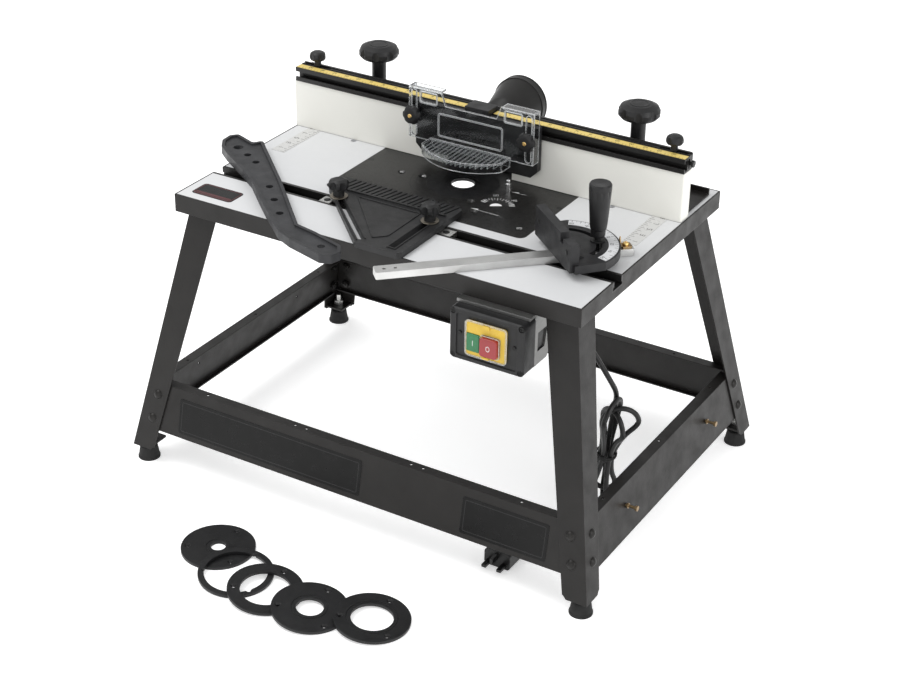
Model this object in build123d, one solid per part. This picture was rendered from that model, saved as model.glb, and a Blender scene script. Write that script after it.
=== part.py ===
from build123d import *
import os
from math import atan, atan2, cos, degrees, hypot, pi, radians, sin

# Benchtop router table. Millimetres, +Z up, +X to the right along the front, +Y to the back.
# The sub-parts are drawn about the middle of the table's footprint, on the floor, and are
# moved by TABLE_Y as they are written, so that the origin is under the middle of the whole
# set: table, fence and the spare rings that lie in front of it.

# Table
TABLE_W, TABLE_D, TABLE_H = 605.0, 400.0, 400.0
TABLE_Y = 106.5
SHEET = 2.0
FRAME_H = 25.0
FRAME_LIP = 34.0
CLEAR = 0.3
TRACK_Y, TRACK_W, TRACK_H, TRACK_SLOT = -105.0, 28.0, 14.0, 19.4
PLATE_W, PLATE_D, PLATE_T, PLATE_R = 303.0, 216.0, 8.0, 10.0
BIT_Y = 36.0
RING_D, RING_T, RING_PCD = 98.0, 4.0, 81.0
FITTED_HOLE = 32.0
CLAMP_X, CLAMP_Y, CLAMP_FRONT_Y = 202.5, 143.0, 77.0
ROUTER_PCD, ROUTER_PCD_LARGE, ROUTER_HOLE_R = 117.0, 178.0, 3.0

# Legs: the outside corner runs straight from LEG_TOP to LEG_FOOT, so the legs splay both ways
LEG_TOP = (290.5, 184.0, 375.0)
LEG_FOOT = (357.8, 254.6, 22.5)
LEG_W_TOP, LEG_W_FOOT = 44.0, 34.5
FOOT_XY = (343.0, 239.6)
FOOT_H = 20.0
RAIL_LOW, RAIL_HIGH, RAIL_FLANGE = 53.0, 122.0, 15.0
BOLT_HEIGHTS = (70.0, 106.0)
BOLT_IN = 20.0

# Switch, hung under the front edge
SW_X, SW_Z, SW_W, SW_H = 189.5, 335.5, 104.0, 71.0
SW_FRONT, SW_JOINT, SW_BACK = -227.0, -199.0, -172.0

# Fence
FENCE_FACE, FENCE_T, FENCE_HALF = 80.0, 22.0, 300.0
CHEEK_TOP, CHEEK_GAP, CHEEK_SLIDE = 468.5, 50.0, 18.0
EXT_Y0, EXT_Y1, EXT_Z0, EXT_Z1 = 78.0, 102.4, 469.0, 489.0
BRACKET_T = 2.5
TOP_KNOB_X, TOP_KNOB_Y = 275.5, 98.4
GUARD_HALF, GUARD_KNOB_X, GUARD_KNOB_Z = 96.0, 88.0, 475.0
VISOR_HALF, VISOR_Y, VISOR_Z = 62.0, 0.0, 444.0
PORT_R, PORT_Z, PORT_END = 38.0, 463.0, 197.0

# Featherboard, held by two bolts in the mitre track
FEATHER_T = 8.0
STRAIGHT_SLOT_X = 34.0
SLANT_FROM, SLANT_TO = (-105.6, -105.0), (-14.0, -193.5)

# Mitre gauge, laid across the table
GAUGE_PIVOT, GAUGE_ANGLE, GAUGE_SWIVEL = (221.8, -92.5), 44.3, 5.5
BAR_BACK, BAR_FRONT, BAR_W, BAR_T = 240.0, 88.0, 19.0, 9.5
HEAD_R, HEAD_D, HANDLE_AT = 69.0, 63.0, 42.0

# Spare insert rings on the floor: centre and hole of each, and each lies on the one before
RINGS = [((-124, -370), 20), ((-68, -407), 82), ((-14, -417.5), 65), ((55, -419), 35), ((132, -395), 54)]

# Mains lead
CORD_D = 7.0
HANK_FOOT, HANK_TOP = Vector(250, -20, 8), Vector(289, -52, 196)
LEAD = [(215, -146, 328), (217, -104, 322), (240, -62, 282), (277, -52, 222)]
TAIL = [(240, -36, 40), (232, -56, 11), (229, -88, 3.7), (219, -122, 3.7), (208, -146, 8), (206, -166, 12)]


def block(x0, x1, y0, y1, z0, z1):
    """A box between two corners."""
    return Pos((x0 + x1) / 2, (y0 + y1) / 2, (z0 + z1) / 2) * Box(abs(x1 - x0), abs(y1 - y0), abs(z1 - z0))


def rod(r, z0, z1, x=0.0, y=0.0):
    """An upright cylinder."""
    return Pos(x, y, (z0 + z1) / 2) * Cylinder(r, z1 - z0)


def rod_along(r, start, end):
    """A cylinder between two points."""
    a, b = Vector(*start), Vector(*end)
    return Plane(origin=a, z_dir=b - a) * Pos(0, 0, (b - a).length / 2) * Cylinder(r, (b - a).length)


def slab(outline, z0, z1):
    """A flat piece with a straight-sided outline."""
    return Pos(0, 0, z0) * extrude(make_face(Polyline(*outline, close=True)), z1 - z0)


def turned(profile):
    """A piece turned about Z from (radius, height) points."""
    return revolve(Plane.XZ * make_face(Polyline(*profile, close=True)), Axis.Z)


def plate_with_corners(w, d, r, z0, z1, y=0.0):
    """A flat plate with rounded corners."""
    return Pos(0, y, z0) * extrude(RectangleRounded(w, d, r), z1 - z0)


def around(pcd, count, first=0.0, centre=(0.0, 0.0)):
    """The points of a bolt circle."""
    turns = [radians(first + 360 * i / count) for i in range(count)]
    return [(centre[0] + pcd / 2 * cos(t), centre[1] + pcd / 2 * sin(t)) for t in turns]


def corners(x, y):
    return [(sx * x, sy * y) for sx in (-1, 1) for sy in (-1, 1)]


# ---- table top and what is let into it ----

PLATE_SCREWS = [(132, -52), (-132, -52), (132, 124), (-132, 124), (146, BIT_Y), (-146, BIT_Y)]
RING_SCREWS = around(RING_PCD, 3, 90, (0, BIT_Y))
PIN_XY = (63.5, 46.2)


def table_top():
    inside = SHEET + 0.1
    top = block(-TABLE_W / 2 + inside, TABLE_W / 2 - inside, -TABLE_D / 2 + inside, TABLE_D / 2 - inside,
                TABLE_H - FRAME_H + SHEET, TABLE_H)
    half = TRACK_W / 2 + 0.05
    top -= block(-TABLE_W, TABLE_W, TRACK_Y - half, TRACK_Y + half, TABLE_H - TRACK_H - 0.05, TABLE_H + 1)
    top -= plate_with_corners(PLATE_W + 0.6, PLATE_D + 0.6, PLATE_R, TABLE_H - PLATE_T, TABLE_H + 1, BIT_Y)
    top -= plate_with_corners(PLATE_W - 24, PLATE_D - 24, 14, 300, TABLE_H, BIT_Y)
    for y in (CLAMP_Y, CLAMP_FRONT_Y):
        for x in (-CLAMP_X, CLAMP_X):
            top -= rod(4.1, 300, TABLE_H + 1, x, y)
    return top


def edge_frame():
    w, d, z = TABLE_W / 2, TABLE_D / 2, TABLE_H - FRAME_H
    frame = block(-w, w, -d, d, z, TABLE_H)
    frame -= block(-w + SHEET, w - SHEET, -d + SHEET, d - SHEET, z + SHEET, TABLE_H + 1)
    lip = SHEET + FRAME_LIP
    frame -= block(-w + lip, w - lip, -d + lip, d - lip, z - 1, TABLE_H)
    half = TRACK_W / 2 + 0.05
    frame -= block(-w - 1, w + 1, TRACK_Y - half, TRACK_Y + half, TABLE_H - TRACK_H - 0.05, TABLE_H + 1)
    for x, y in LEG_TOP_BOLTS:
        frame -= rod(3.1, z - 1, z + SHEET + 1, x, y)
    return frame


def mitre_track():
    track = block(-TABLE_W / 2, TABLE_W / 2, TRACK_Y - TRACK_W / 2, TRACK_Y + TRACK_W / 2,
                  TABLE_H - TRACK_H, TABLE_H)
    slot, under = TRACK_SLOT / 2, 12.2
    track -= block(-TABLE_W, TABLE_W, TRACK_Y - slot, TRACK_Y + slot, TABLE_H - 12, TABLE_H + 1)
    track -= block(-TABLE_W, TABLE_W, TRACK_Y - under, TRACK_Y + under, TABLE_H - 12, TABLE_H - 7.8)
    return track


def insert_plate():
    low = TABLE_H - PLATE_T
    plate = plate_with_corners(PLATE_W, PLATE_D, PLATE_R, low, TABLE_H, BIT_Y)
    plate -= rod(RING_D / 2 + 0.15, TABLE_H - RING_T, TABLE_H + 1, 0, BIT_Y)
    plate -= rod(34, low - 1, TABLE_H, 0, BIT_Y)
    for x, y in PLATE_SCREWS:
        plate -= screw(x, y, TABLE_H, PLATE_T + 1, 0.1)
    for x, y in RING_SCREWS:
        plate -= rod(1.85, low - 1, TABLE_H, x, y)
    for pcd, first in ((ROUTER_PCD, 190), (ROUTER_PCD_LARGE, 189)):
        for x, y in around(pcd, 3, first, (0, BIT_Y)):
            plate -= rod(ROUTER_HOLE_R, low - 1, TABLE_H + 1, x, y)
            plate -= Pos(x, y, TABLE_H - 1.5) * Cone(ROUTER_HOLE_R, ROUTER_HOLE_R + 3, 3)
    plate -= rod(3.05, low - 1, TABLE_H + 1, *PIN_XY)
    return plate


def screw(x, y, top, length, grow=0.0):
    """A countersunk screw, or with grow the hole that it sits in."""
    head, shank = 4.0 + grow, 1.75 + grow
    profile = [(0, top), (head, top), (shank, top - 2.4), (shank, top - length), (0, top - length)]
    return Pos(x, y, 0) * turned(profile)


def insert_ring(hole):
    """A ring with its centre at the origin and its underside at z = 0."""
    ring = rod(RING_D / 2, 0, RING_T) - rod(hole / 2, -1, RING_T + 1)
    for x, y in around(RING_PCD, 3, 90):
        ring -= screw(x, y, RING_T, RING_T + 1, 0.1)
    if hole < 60:
        ring -= rod(hole / 2 + 6, RING_T - 0.8, RING_T + 1) - rod(hole / 2 + 4.6, 0, RING_T + 1)
    return ring


def insert_screws():
    group = [screw(x, y, TABLE_H - 0.1, PLATE_T - 0.2) for x, y in PLATE_SCREWS]
    group += [screw(x, y, TABLE_H - 0.1, PLATE_T - 0.3) for x, y in RING_SCREWS]
    return Compound(group)


def lead_on_pin():
    x, y = PIN_XY
    profile = [(0, 392.5), (3, 392.5), (3, 400), (4, 400), (4, 411),
               (3.2, 412), (3.2, 415.5), (2.2, 417), (0, 417)]
    return Pos(x, y, 0) * turned(profile)


# ---- legs, rails and feet ----

def leg_corner(z):
    """Where the outside corner of the front right leg is at a height, as (x, distance forward)."""
    t = (LEG_TOP[2] - z) / (LEG_TOP[2] - LEG_FOOT[2])
    return [LEG_TOP[i] + t * (LEG_FOOT[i] - LEG_TOP[i]) for i in (0, 1)]


SPLAY_X = (LEG_FOOT[0] - LEG_TOP[0]) / (LEG_TOP[2] - LEG_FOOT[2])
SPLAY_Y = (LEG_FOOT[1] - LEG_TOP[1]) / (LEG_TOP[2] - LEG_FOOT[2])
LEG_TOP_BOLTS = corners(LEG_TOP[0] - 11, LEG_TOP[1] - 34) + corners(LEG_TOP[0] - 34, LEG_TOP[1] - 11)


def quarter(shape, sx, sy):
    """A piece drawn for +X and +Y, mirrored to the corner (sx, sy)."""
    if sx < 0:
        shape = mirror(shape, about=Plane.YZ)
    if sy < 0:
        shape = mirror(shape, about=Plane.XZ)
    return shape


def bolt_seats():
    """Each leg bolt of the +X +Y corner: its point on the leg's outside face, and its outward axis."""
    seats = []
    for z in BOLT_HEIGHTS:
        x, y = leg_corner(z)
        seats.append((Vector(x - BOLT_IN, y, z), Vector(0, 1, SPLAY_Y).normalized()))
        seats.append((Vector(x, y - BOLT_IN, z), Vector(1, 0, SPLAY_X).normalized()))
    return seats


def leg():
    def section(z, w):
        x, y = leg_corner(z)
        line = [(x, y), (x - w, y), (x - w, y - SHEET), (x - SHEET, y - SHEET), (x - SHEET, y - w), (x, y - w)]
        return Pos(0, 0, z) * make_face(Polyline(*line, close=True))
    top, foot = LEG_TOP[2], LEG_FOOT[2]
    body = loft([section(foot, LEG_W_FOOT), section(top, LEG_W_TOP)], ruled=True)
    x, y = leg_corner(top)
    body += block(x - LEG_W_TOP, x, y - LEG_W_TOP, y, top - 3, top)
    x, y = leg_corner(30)
    body += block(x - 31, x - 1, y - 31, y - 1, 27, 30)
    body -= rod(4.05, 20, 40, *FOOT_XY)
    for x, y in LEG_TOP_BOLTS:
        body -= rod(3.1, top - 5, top + 1, x, y)
    for point, axis in bolt_seats():
        body -= rod_along(3.1, point - axis * 6, point + axis * 2)
    x, y = leg_corner(foot)
    nick = 7.0
    body -= Pos(x - LEG_W_FOOT, y, foot) * Rot(0, 45, 0) * Box(nick, 20, nick)
    body -= Pos(x, y - LEG_W_FOOT, foot) * Rot(45, 0, 0) * Box(20, nick, nick)
    return body


def rail(is_front):
    """A folded rail for +Y (front and rear) or, with is_front False, for +X (the sides)."""
    gap = 0.15
    web = []
    for z in (RAIL_LOW, RAIL_HIGH):
        x, y = leg_corner(z)
        if is_front:
            x0, x1, y0, y1 = -x + 3.5, x - 3.5, y - 2 * SHEET - gap, y - SHEET - gap
        else:
            x0, x1, y0, y1 = x - 2 * SHEET - gap, x - SHEET - gap, -y + 7, y - 7
        web.append(Pos(0, 0, z) * make_face(Polyline((x0, y0), (x1, y0), (x1, y1), (x0, y1), close=True)))
    body = loft(web, ruled=True)
    for z0, depth, up in ((RAIL_HIGH - SHEET, RAIL_FLANGE, 1), (RAIL_LOW, 8.0, 0)):
        x, y = leg_corner(z0 + SHEET * up)
        if is_front:
            face = y - SHEET - gap - 0.3
            body += block(-x + 5, x - 5, face - depth, face, z0, z0 + SHEET)
        else:
            face = x - SHEET - gap - 0.3
            end = y - 6 - RAIL_FLANGE
            body += block(face - depth, face, -end, end, z0, z0 + SHEET)
    for point, axis in bolt_seats():
        if (abs(axis.X) < 0.5) == is_front:
            for s in (-1, 1):
                p = Vector(s * point.X, point.Y, point.Z) if is_front else Vector(point.X, s * point.Y, point.Z)
                body -= rod_along(3.1, p - axis * 8, p + axis * 2)
    if is_front:
        for x in (-245, -100, -82, 82, 100, 245):
            body -= rod(2.2, RAIL_HIGH - 5, RAIL_HIGH + 1, x, leg_corner(RAIL_HIGH)[1] - 11)
    else:
        for y in (-163, 0, 163):
            body -= rod(2.2, RAIL_HIGH - 5, RAIL_HIGH + 1, leg_corner(RAIL_HIGH)[0] - 11, y)
        for y in STORAGE_Y:
            body -= rod_along(2.1, (300, y, STORAGE_Z), (400, y, STORAGE_Z))
    return body


STORAGE_Y, STORAGE_Z = (-122.0, 122.0), 94.0


def leg_fasteners():
    """Domed bolts with nuts where the legs meet the rails, and under the table's lip."""
    group = []
    for sx, sy in corners(1, 1):
        for point, axis in bolt_seats():
            bolt = rod_along(2.95, point - axis * 11, point)
            bolt += Plane(origin=point + axis * 0.05, z_dir=axis) * dome(6.8, 3.8)
            bolt += Plane(origin=point - axis * 9.6, z_dir=axis) * extrude(RegularPolygon(5.8, 6), 5)
            group.append(quarter(bolt, sx, sy))
    top = LEG_TOP[2]
    for x, y in LEG_TOP_BOLTS:
        bolt = rod(2.95, top - 3.5, top + SHEET, x, y)
        bolt += Pos(x, y, top - 7.05) * extrude(RegularPolygon(5.8, 6), 4)
        group.append(bolt)
    return Compound(group)


def dome(r, h):
    """A domed bolt head standing on z = 0."""
    big = (r * r + h * h) / (2 * h)
    return (Pos(0, 0, h - big) * Sphere(big)) & rod(r + 1, 0, h + 1)


def foot():
    profile = [(0, 0), (15.5, 0), (15.5, 2.5), (14.5, 4), (12.3, FOOT_H - 1.5), (11, FOOT_H), (0, FOOT_H)]
    return Pos(*FOOT_XY, 0) * turned(profile)


def foot_stud():
    stud = rod(4.0, FOOT_H, 46, *FOOT_XY)
    for z in (FOOT_H + 0.6, 30.05):
        stud += Pos(*FOOT_XY, z) * extrude(RegularPolygon(7.5, 6), 6.3)
    return stud


def storage_screws():
    group = []
    for y in STORAGE_Y:
        face = leg_corner(STORAGE_Z)[0] - SHEET
        pin = rod_along(2.0, (face - 9, y, STORAGE_Z), (face + 15, y, STORAGE_Z))
        pin += rod_along(3.7, (face + 13.35, y, STORAGE_Z), (face + 16.35, y, STORAGE_Z))
        pin += rod_along(3.6, (face + 1.2, y, STORAGE_Z), (face + 3.5, y, STORAGE_Z))
        group.append(pin)
    return Compound(group)


# ---- switch ----

SW_SCREWS = [(sx * 47.8, sz * 30.3) for sx in (-1, 1) for sz in (-1, 1)]
PANEL_W, PANEL_H = 56.5, 47.0
GREEN, RED = (-17.5, -5.5, 18.0, 24.0), (7.0, -4.0, 24.0, 25.0)


def panel(w, h, r, y0, y1, dx=0.0, dz=0.0):
    """A rounded panel that stands upright, from y0 back to y1."""
    flat = Plane(origin=(SW_X + dx, y1, SW_Z + dz), x_dir=(1, 0, 0), z_dir=(0, -1, 0))
    return flat * extrude(RectangleRounded(w, h, r), y1 - y0)


def switch_bracket():
    side, top = SW_W / 2 - 1.0, SW_Z + SW_H / 2 + 0.1
    body = block(SW_X - side, SW_X + side, -212, -150, top, 375)
    outline = [(-198.5, top + 1), (-198.5, 302), (-166, 302), (-160, 309), (-150, top + 1)]
    window = [(-190, 346), (-190, 320), (-172, 320), (-166, 346)]
    for x in (SW_X - side, SW_X + side - SHEET):
        wall = extrude(Plane.YZ * make_face(Polyline(*outline, close=True)), SHEET)
        wall -= extrude(Plane.YZ * make_face(Polyline(*window, close=True)), SHEET)
        body += Pos(x, 0, 0) * wall
    return body


def switch_box():
    """The rear shell, between the bracket's side walls."""
    w, h = SW_W - 2 - 2 * SHEET - 0.2, SW_H - 5
    shell = panel(w, h, 3, SW_JOINT, SW_BACK)
    shell -= panel(w - 5, h - 5, 2, SW_JOINT - 1, SW_BACK - 2.5)
    shell -= rod_along(6.05, (LEAD[0][0], SW_BACK - 5, LEAD[0][2]), (LEAD[0][0], SW_BACK + 5, LEAD[0][2]))
    return shell


def switch_cover():
    """The front shell, with a recessed panel and a window for the push buttons."""
    shell = panel(SW_W, SW_H, 6, SW_FRONT, SW_JOINT)
    shell = chamfer(shell.faces().sort_by(Axis.Y)[0].edges(), 2.0)
    shell -= panel(SW_W - 6, SW_H - 6, 4, SW_FRONT + 4.5, SW_JOINT + 1)
    shell -= panel(SW_W - 19, SW_H - 12, 4, SW_FRONT - 1, SW_FRONT + 1.5)
    shell -= panel(PANEL_W - 2, PANEL_H - 4, 2, SW_FRONT - 1, SW_FRONT + 6)
    for dx, dz in SW_SCREWS:
        shell -= panel(8, 8, 3.9, SW_FRONT - 1, SW_FRONT + 2.5, dx, dz)
    for dx in (-38, 38):
        shell -= rod_along(1.6, (SW_X + dx, SW_FRONT - 1, SW_Z + 2), (SW_X + dx, SW_FRONT + 6, SW_Z + 2))
    return shell


def switch_plate():
    """The coloured surround of the two buttons."""
    plate = panel(PANEL_W, PANEL_H, 4, SW_FRONT - 1.2, SW_FRONT + 1.5)
    for dx, dz, w, h in (GREEN, RED):
        plate -= panel(w + 1.0, h + 1.0, 2, SW_FRONT - 3, SW_FRONT + 3, dx, dz)
    return plate


def push_button(where, proud, r):
    dx, dz, w, h = where
    body = panel(w, h, r, SW_FRONT - proud, SW_FRONT + 8, dx, dz)
    body = fillet(body.faces().sort_by(Axis.Y)[0].edges(), 1.2)
    return body


def switch_mechanism():
    """The contactor behind the buttons."""
    body = panel(50, 40, 2, SW_FRONT + 12.5, SW_BACK - 9)
    for dx in (-18, -6, 6, 18):
        body += panel(7, 5, 1, SW_BACK - 9.5, SW_BACK - 5, dx, 8)
    return body


def switch_screws():
    group = []
    for dx, dz in SW_SCREWS:
        x, z = SW_X + dx, SW_Z + dz
        head = rod_along(3.2, (x, SW_FRONT + 0.7, z), (x, SW_FRONT + 2.45, z))
        head -= block(x - 2.6, x + 2.6, SW_FRONT, SW_FRONT + 1.6, z - 0.4, z + 0.4)
        head -= block(x - 0.4, x + 0.4, SW_FRONT, SW_FRONT + 1.6, z - 2.6, z + 2.6)
        group.append(head)
    for dx in (-38, 38):
        x, z = SW_X + dx, SW_Z + 2
        pin = rod_along(1.5, (x, SW_FRONT + 1.5, z), (x, SW_FRONT + 6, z))
        group.append(pin + rod_along(2.6, (x, SW_FRONT + 0.2, z), (x, SW_FRONT + 1.48, z)))
    return Compound(group)


def cord_gland():
    x, y, z = LEAD[0]
    body = rod_along(6.0, (x, SW_BACK - 2.5, z), (x, SW_BACK, z))
    body += rod_along(8.5, (x, SW_BACK + 0.05, z), (x, SW_BACK + 5, z))
    cone = Plane(origin=(x, SW_BACK + 5, z), z_dir=(0, 1, 0)) * Pos(0, 0, 10.5) * Cone(7.0, 4.6, 21)
    return body + cone


# ---- mains lead ----

def tube(points):
    """A cord of straight runs and tangent arcs, each arc as large as its two runs allow."""
    pts = [Vector(*p) for p in points]
    radii = []
    for a, b, c in zip(pts, pts[1:], pts[2:]):
        shorter = min((b - a).length, (c - b).length)
        half_turn = radians((b - a).get_angle(c - b)) / 2
        radii.append(0.45 * shorter * cos(half_turn) / sin(half_turn))
    path = FilletPolyline(*pts, radius=radii)
    solid = sweep(Plane(origin=path @ 0, z_dir=path % 0) * Circle(CORD_D / 2), path=path)
    area = pi * CORD_D ** 2 / 4
    print("cord radii", [round(r) for r in radii], "length", round(path.length),
          "volume ratio", round(solid.volume / area / path.length, 3))
    return solid


def hank_plane():
    """The hank's own plane: x across its loops, y along it, origin at its waist."""
    along = (HANK_TOP - HANK_FOOT).normalized()
    across = Vector(cos(radians(30)), sin(radians(30)), 0)
    across = (across - along * across.dot(along)).normalized()
    return Plane(origin=(HANK_TOP + HANK_FOOT) * 0.5, x_dir=across, z_dir=across.cross(along))


HANK_HALF = (HANK_TOP - HANK_FOOT).length / 2


def cord_hank():
    """The outer shape of the tied hank: two lobes and a waist."""
    h = HANK_HALF
    upper = [(-12, 5), (-25, 0.5 * h), (-25, 0.76 * h), (-13, h), (18, h), (32, 0.76 * h),
             (30, 0.5 * h), (12, 5)]
    lower = [(12, -5), (21, -0.5 * h), (21, -0.8 * h), (8, -h), (-16, -h), (-28, -0.8 * h),
             (-28, -0.5 * h), (-12, -5)]
    front = extrude(make_face(Polyline(*upper, *lower, close=True)), 40, both=True)
    edge = [(5, 12), (0.5 * h, 21), (0.8 * h, 21), (h, 8)]
    side = [(z, y) for y, z in edge] + [(-z, y) for y, z in reversed(edge)]
    side += [(-z, -y) for y, z in edge] + [(z, -y) for y, z in reversed(edge)]
    side = extrude(Plane.YZ * make_face(Polyline(*[(y, z) for z, y in side], close=True)), 60, both=True)
    return hank_plane() * (front & side)


def hank_tie():
    ring = Box(29, 7, 29) - Box(24.4, 8, 24.4)
    return hank_plane() * ring


def cord_runs():
    return Compound([tube(LEAD), tube(TAIL)])


def plug():
    """A moulded plug lying on the floor, its pins to the front."""
    x, y, z = TAIL[-1]
    body = block(x - 19, x + 19, y - 46, y - 10, 0, 24)
    body = fillet(body.edges().filter_by(Axis.Y), 5)
    body = chamfer(body.faces().sort_by(Axis.Y)[-1].edges(), 2.5)
    body += Plane(origin=(x, y - 10.5, z), z_dir=(0, 1, 0)) * Pos(0, 0, 5) * Cone(7.5, 4.6, 10)
    for dx, dz, w, h in ((-11, -5, 6.3, 4), (11, -5, 6.3, 4), (0, 6, 4, 8)):
        body += block(x + dx - w / 2, x + dx + w / 2, y - 62, y - 45, z + dz - h / 2, z + dz + h / 2)
    return body


# ---- fence ----

def fence_bracket():
    """Folded steel: a base that is clamped to the table and an upright behind the cheeks."""
    half, z = FENCE_HALF - 5, TABLE_H + CLEAR
    y = FENCE_FACE + FENCE_T + 0.6
    body = block(-half, half, y, 180, z, z + BRACKET_T)
    body += block(-half, half, y, y + BRACKET_T, z, 487)
    body += block(-half, half, y, y + 9, 487 - BRACKET_T, 487)
    body += block(-half, half, 180 - BRACKET_T, 180, z, 410)
    body -= block(-50, 50, y - 1, y + BRACKET_T + 1, 405, 463)
    for s in (-1, 1):
        body -= plate_with_corners(9.6, 54, 4.79, 390, 410, CLAMP_Y).moved(Location((s * CLAMP_X, 0, 0)))
    return body


def fence_extrusion():
    body = block(-FENCE_HALF, FENCE_HALF, EXT_Y0, EXT_Y1, EXT_Z0, EXT_Z1)
    body += block(-FENCE_HALF, FENCE_HALF, 100.6, EXT_Y1, EXT_Z1, EXT_Z1 + 1.4)
    body += block(-FENCE_HALF, FENCE_HALF, 94.2, 95.4, EXT_Z1, EXT_Z1 + 1.0)
    long = FENCE_HALF + 1
    body -= block(-long, long, EXT_Y0 - 1, EXT_Y0 + 4, 475, 483)
    body -= block(-long, long, EXT_Y0 + 2.5, EXT_Y0 + 9, 471.5, 486)
    body -= block(-long, long, 90.5, 94.0, 472, 486)
    body -= block(-long, long, 99.5, 100.4, 472, 486)
    for x in (-TOP_KNOB_X, TOP_KNOB_X):
        body -= Pos(x, TOP_KNOB_Y - 0.7, 460) * extrude(SlotOverall(2 * CHEEK_SLIDE + 7, 6.2), 40)
    return body


def dust_port():
    y = FENCE_FACE + FENCE_T + 0.6 + BRACKET_T + 0.05
    seat = Plane(origin=(0, y + 3, 436), x_dir=(1, 0, 0), z_dir=(0, -1, 0))
    flange = seat * extrude(RectangleRounded(118, 66, 6), 3)

    def skin(inset):
        def ring(at, r, z):
            return Plane(origin=(0, at, z), x_dir=(1, 0, 0), z_dir=(0, 1, 0)) * Circle(r - inset)
        mouth = Plane(origin=(0, y + 2, 436), x_dir=(1, 0, 0), z_dir=(0, 1, 0))
        mouth = mouth * RectangleRounded(104 - 2 * inset, 60 - 2 * inset, 10)
        waist = ring(y + 36, 29, 457)
        rim = ring(PORT_END - 12, PORT_R, PORT_Z)
        shape = loft([mouth, waist]) + loft([waist, rim])
        end = PORT_END + (inset > 0)
        return shape + rod_along(PORT_R - inset, (0, PORT_END - 12, PORT_Z), (0, end, PORT_Z))
    body = flange + skin(0)
    body -= skin(2.5)
    body -= block(-48, 48, y - 1, y + 4, 409, 461)
    return body


def cheek(side):
    """One of the two fence faces, side -1 left and 1 right, with a bevel at the cutter."""
    y0, y1 = FENCE_FACE, FENCE_FACE + FENCE_T
    shift = 3.5 if side < 0 else 0
    line = [(CHEEK_GAP, y0), (FENCE_HALF, y0), (FENCE_HALF, y1), (CHEEK_GAP + 18, y1), (CHEEK_GAP, y0 + 4)]
    line = [(x + shift, y) for x, y in line]
    body = slab([(side * x, y) for x, y in line][::side], TABLE_H + 0.6, CHEEK_TOP)
    outer = body.edges().filter_by(Axis.Z).group_by(Axis.Y)[0].sort_by(Axis.X)[-1 if side > 0 else 0]
    body = fillet(outer, 2.0)
    return body - rod(2.55, 440, 500, side * TOP_KNOB_X, TOP_KNOB_Y - 0.7)


def knob(r, head, stem_r, stem, stud_r, stud, lobes, scallop):
    """A lobed hand knob: z = 0 is the seat under the stem, and the stud points down."""
    body = rod(r, stem, stem + head)
    for x, y in around(2 * (r + scallop * 0.62), lobes, 180 / lobes):
        body -= rod(scallop, stem - 1, stem + head + 1, x, y)
    crown = [(0, stem), (r * 0.86, stem), (r, stem + head * 0.22), (r, stem + head * 0.5),
             (r * 0.9, stem + head * 0.78),
             (r * 0.62, stem + head * 0.95), (0, stem + head)]
    body = body & turned(crown)
    return body + rod(stem_r, 0, stem + 1) + rod(stud_r, -stud, 1)


def fence_clamp(side):
    return Pos(side * CLAMP_X, CLAMP_Y, TABLE_H + CLEAR + BRACKET_T + 0.3) * (
        knob(28, 20, 10, 100.5, 4.0, 24, 8, 7) + rod(12, 0, 2))


def top_knob(side):
    """A star knob: its stud goes down through the extrusion's slot into the cheek."""
    return Pos(side * TOP_KNOB_X, TOP_KNOB_Y - 0.7, EXT_Z1 + 1.7) * (
        knob(11.5, 12, 4.6, 8.5, 2.5, 40, 5, 5.5) + rod(5.4, 0, 1.4))


def guard_knob(side):
    seat = Plane(origin=(side * GUARD_KNOB_X, 51.7, GUARD_KNOB_Z), x_dir=(1, 0, 0), z_dir=(0, -1, 0))
    return seat * knob(13.5, 8.5, 7, 2.2, 2.95, 24, 6, 6.5)


def guard_bracket():
    """The black plate across the front of the fence, hooked over the extrusion."""
    w, y0, y1 = GUARD_HALF - 1.5, 68.0, EXT_Y0 - 0.4
    outline = [(-w, 488), (-w, 426), (-w + 10, 416), (-47, 416), (-47, 448), (-40, 455),
               (40, 455), (47, 448), (47, 416), (w - 10, 416), (w, 426), (w, 488)]
    body = Plane(origin=(0, y1, 0), x_dir=(1, 0, 0), z_dir=(0, -1, 0)) * extrude(
        make_face(Polyline(*outline, close=True)), y1 - y0)
    body += block(-18, 18, y0, y1, 487, 496)
    body += block(-18, 18, y1 - 1, 93.8, EXT_Z1 + 0.2, 496)
    for s in (-1, 1):
        x, z = s * GUARD_KNOB_X, GUARD_KNOB_Z
        body -= rod_along(3.0, (x, 60, z), (x, 90, z))
    return body


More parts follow.
